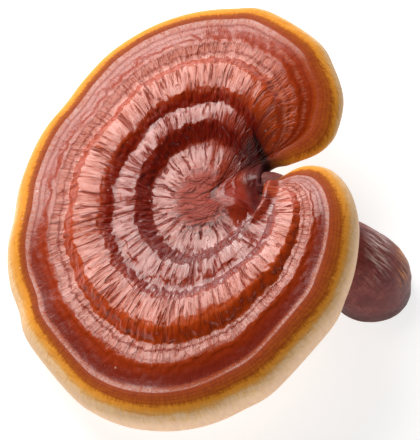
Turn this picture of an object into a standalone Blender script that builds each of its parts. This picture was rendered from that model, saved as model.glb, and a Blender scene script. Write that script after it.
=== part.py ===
"""Reishi mushroom, picked and lying as it would on a table: a kidney-shaped cap on a short side stem.

The cap leans on the far edge of its margin and on the flat cut at the foot of the stem. Lengths in the
tables are millimetres; the scene is in metres, +Z up, with the table at Z = 0.
"""

import math

import bmesh
import bpy
import numpy as np
from mathutils import Matrix, Vector

MM = 0.001

# ---- the cap -----------------------------------------------------------------------------------

# The margin seen from above, in the cap's own plane: east (towards the stem) and north of the plane's
# middle, anticlockwise from the notch's inner end, round the north lobe and back along the south one.
MARGIN = (
    (17.5, 6.0), (18.5, 10.0), (21.5, 11.5), (25.5, 11.5), (33.0, 14.0), (37.5, 17.5), (40.5, 22.5),
    (43.0, 33.5), (41.0, 44.5), (36.5, 55.0), (21.0, 71.0), (9.5, 74.5), (-1.5, 75.0), (-12.5, 73.0),
    (-23.0, 69.0), (-32.5, 63.0), (-40.0, 54.5), (-46.0, 45.0), (-52.5, 36.0), (-57.0, 25.5),
    (-59.5, 14.5), (-60.0, 3.0), (-61.5, -8.0), (-60.5, -19.5), (-57.0, -30.0), (-53.5, -41.0),
    (-40.5, -59.5), (-32.5, -67.0), (-22.5, -72.5), (-11.0, -75.0), (0.0, -74.0), (10.5, -70.0),
    (20.5, -64.5), (36.5, -48.0), (41.5, -38.0), (45.0, -27.5), (46.5, -16.0), (44.5, -5.0),
    (40.0, 2.6), (34.0, 6.0), (28.5, 6.3), (21.5, 3.8), (18.0, 3.0),
)
NOTCH_BEARING = 17.0  # degrees, of the ray that ends at the notch's inner end
CENTRE = (0.0, -2.0)  # the growth centre, where the rays start

# The growth rays: how many degrees more of them fan out into the notch, over what stretch of the margin
# and how far along it; how far along the margin its direction is averaged for the rays that meet it; and
# where a ray turns to meet it, as a share of the ray's reach and, near the notch, of its way from there.
NOTCH_FAN, FAN_WIDTH, FAN_REACH = 25.0, 9.0, 45.0
SQUARING, TURN, TURN_NEAR_NOTCH = 8.6, 0.4, 0.9

# The growth lines between the zones: place in the relief below, and where that is by bearing, every 45
# degrees, as shares of the way from the centre to the shoulder of the margin.
LINES = (
    (0.345, (0.41, 0.39, 0.37, 0.36, 0.335, 0.33, 0.345, 0.385)),
    (0.56, (0.60, 0.55, 0.545, 0.545, 0.545, 0.55, 0.555, 0.595)),
    (0.77, (0.79, 0.765, 0.755, 0.76, 0.77, 0.77, 0.775, 0.79)),
)

# By bearing, every 45 degrees: the margin's thickness above and below its widest line.
SHOULDER = (6.0, 5.0, 5.5, 6.0, 6.0, 6.0, 6.0, 6.4)
LIP = (8.5, 5.5, 6.5, 8.5, 7.4, 7.4, 9.5, 10.0)

# The relief of the growth zones: place from the centre (0) to the shoulder (1), and height above the
# curve between the two. The middle is a basin; each zone round it rises from a steep step to a nearly
# level shelf, the third is the crest, and the last ones step and slope down to the margin.
RELIEF = (
    (0.00, 0.0), (0.08, 0.3), (0.13, 0.0), (0.22, 0.1), (0.29, 0.35), (0.345, 1.8), (0.40, 3.1),
    (0.46, 3.25), (0.52, 2.95), (0.56, 3.65), (0.61, 4.6), (0.67, 4.8), (0.73, 4.5), (0.77, 2.95),
    (0.80, 1.9), (0.86, 1.75), (0.885, 1.4), (0.93, 0.7), (0.975, 0.06), (0.99, 0.08), (1.00, 0.0),
)
CENTRE_TOP, CENTRE_BOTTOM = 4.2, -8.5  # heights above the cap's plane at the growth centre
ROUNDING, SQUARENESS = 6.5, 0.85  # the margin's section: how far in the shoulder starts, how blunt it is
MOST_ROUNDING = 0.2  # share of a short ray that its rounding may take
FULL_REACH, FADING = 62.0, 1.6  # how long a ray has the full relief, and the power it fades by on others

# Where the stem comes up, the cap sinks into a hollow and the zones run out. Forms beside the notch are
# placed by their way along the margin from its inner end: the margin is thinner, the south lobe rolls up
# in a fold, and the north lobe droops, with a thin edge that is thinnest at the notch.
HOLLOW, HOLLOW_DEPTH, HOLLOW_SPREAD = (16.0, 9.0), 3.2, 11.0
SMOOTH_AT, SMOOTH_SPREAD = (16.0, 3.0), 18.0
NOTCH_SHOULDER, NOTCH_LIP, NOTCH_SPREAD = 4.4, 3.0, 13.0
FOLD_HEIGHT, FOLD_AT, FOLD_SPREAD = 1.5, -36.0, 18.0
DROOP, DROOP_AT, DROOP_SPREAD, THINNER = 5.0, 27.0, 24.0, 0.65
THIN_AT, THIN_SPREADS, THIN_SHOULDER, THIN_LIP = 12.0, (10.0, 16.0), 0.5, 0.6

# A crease runs in from the notch where the south lobe's edge stands over the stem: north, east and depth
# along it, its width on the west and east sides, and the roll of the lobe's edge beside it.
CREASE = (
    (-19.0, 6.0, 0.0), (-15.0, 11.5, 0.9), (-11.0, 15.3, 2.2), (-7.0, 17.4, 3.2), (-3.0, 18.0, 3.2),
    (2.0, 18.4, 2.0), (6.0, 18.6, 0.0),
)
CREASE_WIDTHS = (5.0, 2.0)
ROLL_HEIGHT, ROLL_FROM_CREASE, ROLL_WIDTH = 1.7, 2.2, 2.6
WAVES = ((2, 0.4, 0.0), (5, 0.4, 180.0), (9, 0.4, 180.0))  # up and down: how many, height, a crest's bearing

CAP_SEGMENTS = 96
RIM_ANGLES = (30, 60, 90, 120, 150)  # degrees from straight up, round the section of the margin
UNDERSIDE_STATIONS = (1.0, 0.72, 0.45, 0.2, 0.0)  # shares of the way out from the centre

# ---- the stem ----------------------------------------------------------------------------------

# The stem's middle line from the cap to the foot, from the cap's middle in the resting pose: east,
# north, up, then the half width across and the half height of the section.
STEM = (
    (10.0, 6.0, -2.5, 5.0, 5.0), (18.5, 5.5, -1.8, 5.6, 6.4), (28.5, -2.5, -6.0, 9.5, 9.0),
    (37.5, -8.7, -9.2, 10.0, 10.0), (45.3, -12.8, -12.2, 11.4, 11.4), (49.4, -15.4, -17.4, 12.7, 12.7),
    (50.2, -16.8, -25.0, 12.4, 12.4), (50.2, -17.0, -32.0, 12.0, 12.0),
)
STEM_SEGMENTS, STEM_STATIONS = 36, 28
BLUNTNESS = 0.12  # share of the stem's length over which its upper end rounds off
JOINT_GAP = 0.35  # left between the stem and the cap that it grows into

# ---- how it rests ------------------------------------------------------------------------------

LEAN, PITCH = 15.0, -0.3  # degrees the cap's plane drops to the west, and to the south


def closed_spline(points, count):
    """Points at equal spacing along a closed smooth curve through the given ones, with its length."""
    knots = np.array(points, float)
    before, after, beyond = np.roll(knots, 1, 0), np.roll(knots, -1, 0), np.roll(knots, -2, 0)
    t = np.linspace(0, 1, 24, endpoint=False)[:, None, None]
    curve = 0.5 * (
        2 * knots
        + (after - before) * t
        + (2 * before - 5 * knots + 4 * after - beyond) * t**2
        + (3 * knots - before - 3 * after + beyond) * t**3
    )
    dense = curve.transpose(1, 0, 2).reshape(-1, 2)
    dense = np.vstack([dense, dense[:1]])
    run = np.concatenate([[0], np.cumsum(np.linalg.norm(np.diff(dense, axis=0), axis=1))])
    at = np.arange(count) / count * run[-1]
    return np.stack([np.interp(at, run, dense[:, k]) for k in (0, 1)], 1), run[-1]


def smooth_through(x, places, values):
    """A smooth curve through values at places, level at every turn, read at x."""
    places, values = np.array(places, float), np.array(values, float)
    steps = np.diff(values) / np.diff(places)
    slopes = np.zeros(len(places))
    same = steps[1:] * steps[:-1] > 0
    slopes[1:-1][same] = 2 * steps[1:][same] * steps[:-1][same] / (steps[1:] + steps[:-1])[same]
    slopes[0], slopes[-1] = steps[0], steps[-1]
    k = np.clip(np.searchsorted(places, x, side="right") - 1, 0, len(steps) - 1)
    width = places[k + 1] - places[k]
    t = (x - places[k]) / width
    return (
        (1 + 2 * t) * (1 - t) ** 2 * values[k]
        + t * (1 - t) ** 2 * width * slopes[k]
        + t**2 * (3 - 2 * t) * values[k + 1]
        + t**2 * (t - 1) * width * slopes[k + 1]
    )


class Rays:
    """The cap's growth rays, one for each column of its mesh: each fans out from the growth centre and
    meets the margin squarely, so that the growth zones run along the margin and curl into the notch."""

    def __init__(self, count):
        self.rim, length = closed_spline(MARGIN, count)
        ahead = np.roll(self.rim, -1, 0) - np.roll(self.rim, 1, 0)
        turns = np.fft.fftfreq(count) * count
        outward = np.fft.ifft(
            np.fft.fft(ahead[:, 1] - 1j * ahead[:, 0]) * np.exp(-((np.pi * turns * SQUARING / length) ** 2))
        )
        self.outward = np.stack([outward.real, outward.imag], 1) / np.abs(outward)[:, None]
        self.reach = np.linalg.norm(self.rim - CENTRE, axis=1)

        share = np.arange(count) / count
        share = np.where(share > 0.5, share - 1, share)
        self.along = share * length  # the way along the margin from the notch's inner end
        bearing = np.degrees(np.arctan2(self.rim[:, 1], self.rim[:, 0]))
        seen = NOTCH_BEARING + (bearing - NOTCH_BEARING + 180) % 360 - 180
        seen = np.where((share < -0.4) & (seen > 90), seen - 360, seen)
        seen = np.where((share > 0.4) & (seen < 0), seen + 360, seen)
        fanned = NOTCH_BEARING + 360 * share * (1 - NOTCH_FAN / 180)
        fanned += NOTCH_FAN * np.tanh(self.along / FAN_WIDTH)
        near = np.exp(-((self.along / FAN_REACH) ** 2))
        self.bearing = near * fanned + (1 - near) * seen
        start = np.radians(self.bearing)
        self.start = np.stack([np.cos(start), np.sin(start)], 1)
        self.turn = np.minimum(TURN * self.reach, TURN_NEAR_NOTCH * np.abs(self.along))

        def by_bearing(values):
            wide = np.tile(values, 3)
            return smooth_through(bearing % 360, np.arange(-8, 16) * 45.0, wide)

        self.notch = np.exp(-((self.along / NOTCH_SPREAD) ** 2))
        wave = sum(h * np.cos(np.radians(n * (bearing - crest))) for n, h, crest in WAVES)
        wave += FOLD_HEIGHT * np.exp(-(((self.along - FOLD_AT) / FOLD_SPREAD) ** 2))
        self.middle = wave * (1 - self.notch)
        droop = np.exp(-(((self.along - DROOP_AT) / DROOP_SPREAD) ** 2)) * (1 - self.notch)
        self.droop = np.where(self.along > 0, droop, 0)
        spread = np.where(self.along < THIN_AT, *THIN_SPREADS)
        thin = np.exp(-(((self.along - THIN_AT) / spread) ** 2))
        self.shoulder = by_bearing(SHOULDER)
        self.shoulder += self.notch * (NOTCH_SHOULDER - self.shoulder)
        self.shoulder *= 1 - THIN_SHOULDER * thin
        self.lip = by_bearing(LIP)
        self.lip += self.notch * (NOTCH_LIP - self.lip)
        self.lip *= (1 - THINNER * self.droop) * (1 - THIN_LIP * thin)
        self.lines = np.stack([by_bearing(shares) for _, shares in LINES], 1)
        self.inset = np.minimum(ROUNDING / self.reach, MOST_ROUNDING)

    def plan(self, along):
        """East and north at a share of the way along each ray."""
        a = along[:, None]
        away = CENTRE + self.start * self.reach[:, None] / 3
        near = self.rim - self.outward * self.turn[:, None]
        return (
            (1 - a) ** 3 * np.array(CENTRE)
            + 3 * a * (1 - a) ** 2 * away
            + 3 * a**2 * (1 - a) * near
            + a**3 * self.rim
        )

    def sunk(self, spots, height, share=1.0):
        """Points at spots of the plan, lowered into the hollow at the notch and with the drooping lobe."""
        far = np.linalg.norm(spots - HOLLOW, axis=1) / HOLLOW_SPREAD
        down = HOLLOW_DEPTH * np.exp(-(far**2)) + DROOP * self.droop * share**2
        return np.column_stack([spots, height - down])

    def top(self, place):
        """Points on the top at one place among the growth zones."""
        places = (0, *(at for at, _ in LINES), 1)
        share = np.array([smooth_through(place, places, (0, *shares, 1)) for shares in self.lines])
        spots = self.plan(share * (1 - self.inset))
        far = np.linalg.norm(spots - SMOOTH_AT, axis=1) / SMOOTH_SPREAD
        strength = np.minimum(self.reach / FULL_REACH, 1) ** FADING * (1 - np.exp(-(far**2)))
        edge = self.middle + self.shoulder
        height = CENTRE_TOP + (edge - CENTRE_TOP) * share**2
        height += strength * smooth_through(place, *zip(*RELIEF))
        norths, easts, depths = zip(*CREASE)
        north = np.clip(spots[:, 1], norths[0], norths[-1])
        off = spots[:, 0] - smooth_through(north, norths, easts)
        deep = smooth_through(north, norths, depths)
        height -= deep * np.exp(-((off / np.where(off < 0, *CREASE_WIDTHS)) ** 2))
        roll = np.exp(-(((off - ROLL_FROM_CREASE) / ROLL_WIDTH) ** 2)) * (off > 0)
        height += ROLL_HEIGHT * deep / max(depths) * roll
        return self.sunk(spots, height, share)

    def margin(self, angle):
        """Points round the section of the margin, from straight up (0) past the widest line (90)."""
        up, out = math.cos(math.radians(angle)), math.sin(math.radians(angle))
        deep = self.shoulder if angle <= 90 else self.lip
        height = self.middle + deep * math.copysign(abs(up) ** SQUARENESS, up)
        return self.sunk(self.plan(1 - self.inset * (1 - out**SQUARENESS)), height)

    def underside(self, share):
        """Points on the pore face at a share of the way out to the margin's rounding."""
        edge = self.middle - self.lip
        height = CENTRE_BOTTOM + (edge - CENTRE_BOTTOM) * share**2
        return self.sunk(self.plan(share * (1 - self.inset)), height, share)


def cap_mesh():
    """The cap in its own plane, made from a globe: its meridians are the growth rays, its parallels the
    growth zones on top, then the section of the margin, then rings on the underside."""
    rays = Rays(CAP_SEGMENTS)
    rings = [rays.top(place) for place, _ in RELIEF]
    rings += [rays.margin(angle) for angle in RIM_ANGLES]
    rings += [rays.underside(share) for share in UNDERSIDE_STATIONS]
    mesh = bmesh.new()
    bmesh.ops.create_uvsphere(mesh, u_segments=CAP_SEGMENTS, v_segments=len(rings) - 1, radius=1)
    for vertex in mesh.verts:
        across = math.atan2(vertex.co.y, vertex.co.x) / math.tau * CAP_SEGMENTS
        down = math.acos(max(-1, min(1, vertex.co.z))) / math.pi * (len(rings) - 1)
        vertex.co = Vector(rings[round(down)][round(across) % CAP_SEGMENTS]) * MM
    bmesh.ops.recalc_face_normals(mesh, faces=mesh.faces)
    bmesh.ops.triangulate(mesh, faces=mesh.faces)
    return mesh


def stem_mesh():
    """The stem as a round tube with its upper end blunt, its foot running on below the table."""
    table = np.array(STEM, float)
    places = np.linspace(0, 1, len(table))
    mesh = bmesh.new()
    bmesh.ops.create_uvsphere(mesh, u_segments=STEM_SEGMENTS, v_segments=STEM_STATIONS, radius=1)

    def at(share):
        return np.array([smooth_through(share, places, column) for column in table.T])

    for vertex in mesh.verts:
        down = math.acos(max(-1, min(1, vertex.co.z))) / math.pi
        short = max(0, 1 - min(down, 1 - down) / BLUNTNESS)
        swell = math.sqrt(max(0, 1 - short**2))
        turn = math.atan2(vertex.co.y, vertex.co.x)
        here, ahead = at(down), at(min(1, down + 0.02)) - at(max(0, down - 0.02))
        along = Vector(ahead[:3]).normalized()
        side = along.cross(Vector((0.3, 0.2, 1))).normalized()
        over = side.cross(along)
        across = side * here[3] * math.cos(turn) + over * here[4] * math.sin(turn)
        vertex.co = (Vector(here[:3]) + swell * across) * MM
    bmesh.ops.recalc_face_normals(mesh, faces=mesh.faces)
    return mesh


def cut_flat(mesh):
    """Cuts the foot off flat at the table."""
    everything = mesh.verts[:] + mesh.edges[:] + mesh.faces[:]
    cut = bmesh.ops.bisect_plane(
        mesh, geom=everything, plane_co=(0, 0, 0), plane_no=(0, 0, 1), clear_inner=True
    )
    edges = [piece for piece in cut["geom_cut"] if isinstance(piece, bmesh.types.BMEdge)]
    bmesh.ops.contextual_create(mesh, geom=edges)
    bmesh.ops.triangulate(mesh, faces=mesh.faces)


def varnish(name, colour, roughness):
    material = bpy.data.materials.new(name)
    material.use_nodes = True
    shader = material.node_tree.nodes["Principled BSDF"]
    shader.inputs["Base Color"].default_value = (*colour, 1)
    shader.inputs["Roughness"].default_value = roughness
    shader.inputs["Metallic"].default_value = 0
    return material


def add(name, mesh, material):
    data = bpy.data.meshes.new(name)
    mesh.to_mesh(data)
    mesh.free()
    data.materials.append(material)
    data.shade_smooth()
    data.set_sharp_from_angle(angle=math.radians(50))
    piece = bpy.data.objects.new(name, data)
    bpy.context.collection.objects.link(piece)
    return piece


def main():
    for old in list(bpy.data.objects):
        bpy.data.objects.remove(old)
    crust = varnish("cap_varnish", (0.30, 0.045, 0.012), 0.25)
    dark = varnish("stem_varnish", (0.10, 0.022, 0.015), 0.35)

    cap, foot = cap_mesh(), stem_mesh()
    lean = Matrix.Rotation(math.radians(-LEAN), 4, "Y") @ Matrix.Rotation(math.radians(PITCH), 4, "X")
    bmesh.ops.transform(cap, matrix=lean, verts=cap.verts)
    table = min(vertex.co.z for vertex in cap.verts)
    for mesh in (cap, foot):
        bmesh.ops.translate(mesh, vec=(0, 0, -table), verts=mesh.verts)
    cut_flat(foot)
    spots = [vertex.co for mesh in (cap, foot) for vertex in mesh.verts]
    middle = [(min(co[k] for co in spots) + max(co[k] for co in spots)) / 2 for k in (0, 1)]
    for mesh in (cap, foot):
        bmesh.ops.translate(mesh, vec=(-middle[0], -middle[1], 0), verts=mesh.verts)

    clearance = cap.copy()
    clearance.normal_update()
    for vertex in clearance.verts:
        vertex.co += vertex.normal * JOINT_GAP * MM
    add("cap", cap, crust)
    cutter = add("clearance", clearance, crust)
    cutter.hide_render = True
    cutter.display_type = "WIRE"

    stem = add("stem", foot, dark)
    fit = stem.modifiers.new("fit_to_cap", "BOOLEAN")
    fit.operation = "DIFFERENCE"
    fit.solver = "EXACT"
    fit.object = cutter


if __name__ == "__main__":
    main()
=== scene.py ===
"""Looks of the picked reishi mushroom: its lacquered, ringed cap and its dark side stem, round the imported
solids. Lengths in the tables are millimetres; the scene is in metres, +Z up, with the table at Z = 0."""

import math

import bmesh
import bpy
import numpy as np
from mathutils import Matrix, Vector, noise


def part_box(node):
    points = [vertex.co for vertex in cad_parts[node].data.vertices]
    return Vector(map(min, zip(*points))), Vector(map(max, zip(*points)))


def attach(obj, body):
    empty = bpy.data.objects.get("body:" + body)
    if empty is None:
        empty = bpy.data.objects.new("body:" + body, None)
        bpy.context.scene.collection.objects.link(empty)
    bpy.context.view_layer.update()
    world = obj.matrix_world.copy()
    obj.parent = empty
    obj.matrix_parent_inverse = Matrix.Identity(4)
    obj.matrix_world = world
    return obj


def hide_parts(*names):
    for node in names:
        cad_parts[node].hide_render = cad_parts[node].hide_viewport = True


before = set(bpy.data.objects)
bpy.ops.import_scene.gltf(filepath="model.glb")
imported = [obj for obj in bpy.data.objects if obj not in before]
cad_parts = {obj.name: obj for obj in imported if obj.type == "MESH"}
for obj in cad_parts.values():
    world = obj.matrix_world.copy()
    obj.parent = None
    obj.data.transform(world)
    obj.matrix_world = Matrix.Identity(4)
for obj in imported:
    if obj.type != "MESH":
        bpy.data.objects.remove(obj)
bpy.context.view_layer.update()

# ---- cap ---------------------------------------------------------------------------------------
# The fruiting body's cap: corky flesh under a thin lacquer-like crust, grown outwards in zones from
# beside the stem. Each zone ends in a growth line; across the zones the drying crust has shrunk into
# fine radial wrinkles. The growing edge is ochre, then cream, and the underside is the pale pore face.

MM = 0.001  # in metres

# The margin seen from above in the cap's own plane, anticlockwise from the notch's inner end.
MARGIN = (
    (17.5, 6.0), (18.5, 10.0), (21.5, 11.5), (25.5, 11.5), (33.0, 14.0), (37.5, 17.5), (40.5, 22.5),
    (43.0, 33.5), (41.0, 44.5), (36.5, 55.0), (21.0, 71.0), (9.5, 74.5), (-1.5, 75.0), (-12.5, 73.0),
    (-23.0, 69.0), (-32.5, 63.0), (-40.0, 54.5), (-46.0, 45.0), (-52.5, 36.0), (-57.0, 25.5),
    (-59.5, 14.5), (-60.0, 3.0), (-61.5, -8.0), (-60.5, -19.5), (-57.0, -30.0), (-53.5, -41.0),
    (-40.5, -59.5), (-32.5, -67.0), (-22.5, -72.5), (-11.0, -75.0), (0.0, -74.0), (10.5, -70.0),
    (20.5, -64.5), (36.5, -48.0), (41.5, -38.0), (45.0, -27.5), (46.5, -16.0), (44.5, -5.0),
    (40.0, 2.6), (34.0, 6.0), (28.5, 6.3), (21.5, 3.8), (18.0, 3.0),
)
NOTCH_BEARING = 17.0  # degrees, of the ray that ends at the notch's inner end
CENTRE = np.array((0.0, -2.0))  # the growth centre, where the rays start
NOTCH_FAN, FAN_WIDTH, FAN_REACH = 25.0, 9.0, 45.0
SQUARING, TURN, TURN_NEAR_NOTCH = 8.6, 0.4, 0.9

# The growth lines: place in the relief, and where that is by bearing, every 45 degrees.
LINES = (
    (0.345, (0.41, 0.39, 0.37, 0.36, 0.335, 0.33, 0.345, 0.385)),
    (0.56, (0.60, 0.55, 0.545, 0.545, 0.545, 0.55, 0.555, 0.595)),
    (0.77, (0.79, 0.765, 0.755, 0.76, 0.77, 0.77, 0.775, 0.79)),
)
SHOULDER = (6.0, 5.0, 5.5, 6.0, 6.0, 6.0, 6.0, 6.4)
LIP = (8.5, 5.5, 6.5, 8.5, 7.4, 7.4, 9.5, 10.0)
OCHRE_FROM = (24, 25, 17, 16, 15, 19, 36, 42)  # degrees round the margin's section, by bearing
CREAM_FROM = (52, 54, 58, 58, 50, 42, 58, 62)
DROOPING_OCHRE, DROOPING_CREAM = 26, 14  # degrees farther round, where the edge droops
THIN_OCHRE, THIN_CREAM = 26, 48  # and where it is thin
RELIEF = (
    (0.00, 0.0), (0.08, 0.3), (0.13, 0.0), (0.22, 0.1), (0.29, 0.35), (0.345, 1.8), (0.40, 3.1),
    (0.46, 3.25), (0.52, 2.95), (0.56, 3.65), (0.61, 4.6), (0.67, 4.8), (0.73, 4.5), (0.77, 2.95),
    (0.79, 2.0), (0.87, 1.85), (0.90, 1.35), (0.93, 0.80), (0.985, 0.07), (0.995, 0.0), (1.00, -0.02),
)
CENTRE_TOP, CENTRE_BOTTOM = 4.2, -8.5
ROUNDING, SQUARENESS, MOST_ROUNDING = 6.5, 0.92, 0.2
FULL_REACH, FADING = 62.0, 1.6
HOLLOW, HOLLOW_DEPTH, HOLLOW_SPREAD = (16.0, 9.0), 3.2, 11.0
SMOOTH_AT, SMOOTH_SPREAD = (16.0, 3.0), 18.0
NOTCH_SHOULDER, NOTCH_LIP, NOTCH_SPREAD = 4.4, 3.0, 13.0
FOLD_HEIGHT, FOLD_AT, FOLD_SPREAD = 1.5, -36.0, 18.0
WAVES = ((2, 0.4, 0.0), (5, 0.4, 180.0), (9, 0.4, 180.0))
DROOP, DROOP_AT, DROOP_SPREAD = 5.0, 27.0, 24.0  # of the north lobe's edge, by its way along the margin
THINNER = 0.65  # share of its lip that the drooping edge lacks
THIN_AT, THIN_SPREADS, THIN_SHOULDER, THIN_LIP = 12.0, (10.0, 16.0), 0.5, 0.6  # the edge is thin at the notch
LEAN, PITCH = 15.0, -0.3

# Only in the fine surface: how far the growth lines wander, but for a share of the way at both ends, and
# how wrinkled the crust is at each place.
WANDER, RAGGEDNESS, STILL_AT_ENDS = 0.006, 0.014, 0.125
WRINKLED = (
    (0.00, 0.0), (0.12, 0.1), (0.18, 1.0), (0.29, 0.9), (0.325, 0.4), (0.338, 0.0), (0.352, 0.0),
    (0.375, 0.7), (0.42, 1.0), (0.51, 1.0), (0.54, 0.25), (0.552, 0.0), (0.568, 0.0), (0.60, 0.9),
    (0.65, 1.0), (0.72, 1.0), (0.75, 0.35), (0.762, 0.0), (0.778, 0.0), (0.80, 0.6), (0.86, 0.5),
    (0.878, 0.0), (0.892, 0.0), (0.91, 0.15), (0.96, 0.12), (1.00, 0.05),
)
WRINKLE_HEIGHT, WRINKLE_WIDTH, WRINKLE_LENGTH = 0.22, 3.2, 13.0
LUMP_HEIGHT, LUMP_SIZE, LEAST_LUMPY = 0.35, 9.0, 0.4
STREAK_GIRTH, STREAK_WIDTH, STREAK_LENGTH = 0.5, 1.3, 9.0  # of the streaks across the growth lines
# The north lobe's duller side: a leaning line on its west, and how far north it starts, with their eases.
DULL_FROM, DULL_LEAN, DULL_EASE = (15.0, 21.0), 0.22, 4.0
DULL_NORTH, DULL_NORTH_EASE = 6.0, 5.0

# Where the lobes fold against the stem, the top is creased. Each crease: north, east and depth along it,
# and how wide it is on its west and east sides. The south lobe's edge stands over the first one.
SOUTH_CREASE = (
    (-19.0, 6.0, 0.0), (-15.0, 11.5, 0.9), (-11.0, 15.3, 2.3), (-7.0, 17.4, 3.5), (-3.0, 18.0, 4.0),
    (2.0, 18.4, 3.0), (6.0, 18.6, 0.0),
)
NORTH_CREASE = (
    (7.0, 18.6, 0.0), (12.0, 18.4, 1.4), (16.0, 17.8, 1.7), (22.0, 16.6, 1.0), (32.0, 14.6, 0.0),
)
SOUTH_WIDTHS, NORTH_WIDTHS = (5.0, 1.0), (5.0, 4.0)
ROLL_HEIGHT, ROLL_FROM_CREASE, ROLL_WIDTH = 1.7, 2.2, 2.6
ROLLED_EDGE, ROLLED_EDGE_WIDTH = 0.9, 1.5  # the bright edge of the roll, east of the crease
KNOB_AT, KNOB_SPREAD, KNOB_HEIGHT = (10.8, -4.6), (4.6, 3.6), 1.2
# The stem's dark lacquer runs out over the top here: north, east and half width; and the deepest painted
# shadow, in the north crease.
FLOW = (
    (-9.0, 17.0, 0.5), (-5.0, 16.6, 1.2), (0.0, 16.2, 2.0), (5.0, 15.8, 2.6), (10.0, 15.4, 2.2),
    (14.0, 14.8, 1.0), (17.0, 14.4, 0.5),
)
DEEPEST_SHADOW = ((7.0, 19.4, 0.4), (11.0, 18.8, 0.9), (14.0, 18.0, 1.0), (17.0, 17.0, 0.8), (20.0, 16.2, 0.3))
PAINT_REACH, PAINT_EASE = 2.2, 1.5  # of what these lines paint, in half widths
# A painted shade in the dark hollow north of the notch: where it is, and how far it spreads.
HOLLOW_SHADE_AT, HOLLOW_SHADE_SPREAD = (15.5, 17.0), (5.5, 8.0)
# The notch's inner side is dark too: where along the margin, how far, and how much.
NOTCH_SIDE, NOTCH_SIDE_SPREAD, NOTCH_SIDE_REACH, NOTCH_SIDE_FLOW = -1.5, 9.0, 1.6, 1.25
CROWDED_AT, CROWDED_SPREAD = (11.0, 0.0), (8.5, 9.0)  # where the zones run together beside the notch

COLUMNS, ZONE_ROWS, MARGIN_ROWS, PORE_ROWS = 480, 141, 28, 31
POLE_ROWS = 12  # still smooth, at the centre


def closed_spline(points, count):
    """Points at equal spacing along a closed smooth curve through the given ones, with its length."""
    knots = np.array(points, float)
    before, after, beyond = np.roll(knots, 1, 0), np.roll(knots, -1, 0), np.roll(knots, -2, 0)
    t = np.linspace(0, 1, 24, endpoint=False)[:, None, None]
    curve = 0.5 * (
        2 * knots
        + (after - before) * t
        + (2 * before - 5 * knots + 4 * after - beyond) * t**2
        + (3 * knots - before - 3 * after + beyond) * t**3
    )
    dense = curve.transpose(1, 0, 2).reshape(-1, 2)
    dense = np.vstack([dense, dense[:1]])
    run = np.concatenate([[0], np.cumsum(np.linalg.norm(np.diff(dense, axis=0), axis=1))])
    at = np.arange(count) / count * run[-1]
    return np.stack([np.interp(at, run, dense[:, k]) for k in (0, 1)], 1), run[-1]


def smooth_through(x, places, values):
    """A smooth curve through values at places, level at every turn, read at x."""
    places, values = np.array(places, float), np.array(values, float)
    steps = np.diff(values) / np.diff(places)
    slopes = np.zeros(len(places))
    same = steps[1:] * steps[:-1] > 0
    slopes[1:-1][same] = 2 * steps[1:][same] * steps[:-1][same] / (steps[1:] + steps[:-1])[same]
    slopes[0], slopes[-1] = steps[0], steps[-1]
    k = np.clip(np.searchsorted(places, x, side="right") - 1, 0, len(steps) - 1)
    width = places[k + 1] - places[k]
    t = (x - places[k]) / width
    return (
        (1 + 2 * t) * (1 - t) ** 2 * values[k]
        + t * (1 - t) ** 2 * width * slopes[k]
        + t**2 * (3 - 2 * t) * values[k + 1]
        + t**2 * (t - 1) * width * slopes[k + 1]
    )


# The growth rays, one for each column of the mesh: from the growth centre to the margin, met squarely.
rim, rim_length = closed_spline(MARGIN, COLUMNS)
ahead = np.roll(rim, -1, 0) - np.roll(rim, 1, 0)
turns = np.fft.fftfreq(COLUMNS) * COLUMNS
outward = np.fft.ifft(
    np.fft.fft(ahead[:, 1] - 1j * ahead[:, 0]) * np.exp(-((np.pi * turns * SQUARING / rim_length) ** 2))
)
outward = np.stack([outward.real, outward.imag], 1) / np.abs(outward)[:, None]
reach = np.linalg.norm(rim - CENTRE, axis=1)
share_round = np.arange(COLUMNS) / COLUMNS
share_round = np.where(share_round > 0.5, share_round - 1, share_round)
along = share_round * rim_length
bearing = np.degrees(np.arctan2(rim[:, 1], rim[:, 0]))
seen = NOTCH_BEARING + (bearing - NOTCH_BEARING + 180) % 360 - 180
seen = np.where((share_round < -0.4) & (seen > 90), seen - 360, seen)
seen = np.where((share_round > 0.4) & (seen < 0), seen + 360, seen)
fanned = NOTCH_BEARING + 360 * share_round * (1 - NOTCH_FAN / 180) + NOTCH_FAN * np.tanh(along / FAN_WIDTH)
near_notch = np.exp(-((along / FAN_REACH) ** 2))
start_bearing = np.radians(near_notch * fanned + (1 - near_notch) * seen)
start = np.stack([np.cos(start_bearing), np.sin(start_bearing)], 1)
turn = np.minimum(TURN * reach, TURN_NEAR_NOTCH * np.abs(along))


def by_bearing(values):
    return smooth_through(bearing % 360, np.arange(-8, 16) * 45.0, np.tile(values, 3))


notch = np.exp(-((along / NOTCH_SPREAD) ** 2))
middle = sum(h * np.cos(np.radians(n * (bearing - crest))) for n, h, crest in WAVES)
middle += FOLD_HEIGHT * np.exp(-(((along - FOLD_AT) / FOLD_SPREAD) ** 2))
middle *= 1 - notch
droop = np.where(along > 0, np.exp(-(((along - DROOP_AT) / DROOP_SPREAD) ** 2)), 0) * (1 - notch)
shoulder = by_bearing(SHOULDER)
shoulder += notch * (NOTCH_SHOULDER - shoulder)
lip = by_bearing(LIP)
lip += notch * (NOTCH_LIP - lip)
thin = np.exp(-(((along - THIN_AT) / np.where(along < THIN_AT, *THIN_SPREADS)) ** 2))
shoulder *= 1 - THIN_SHOULDER * thin
lip *= (1 - THINNER * droop) * (1 - THIN_LIP * thin)
inset = np.minimum(ROUNDING / reach, MOST_ROUNDING)
line_places = (0, *(at for at, _ in LINES), 1)
line_shares = np.stack([by_bearing(shares) for _, shares in LINES], 1)


def plan(share):
    """East and north at a share of the way along each ray."""
    a = share[:, None]
    away = CENTRE + start * reach[:, None] / 3
    near = rim - outward * turn[:, None]
    return (1 - a) ** 3 * CENTRE + 3 * a * (1 - a) ** 2 * away + 3 * a**2 * (1 - a) * near + a**3 * rim


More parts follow.
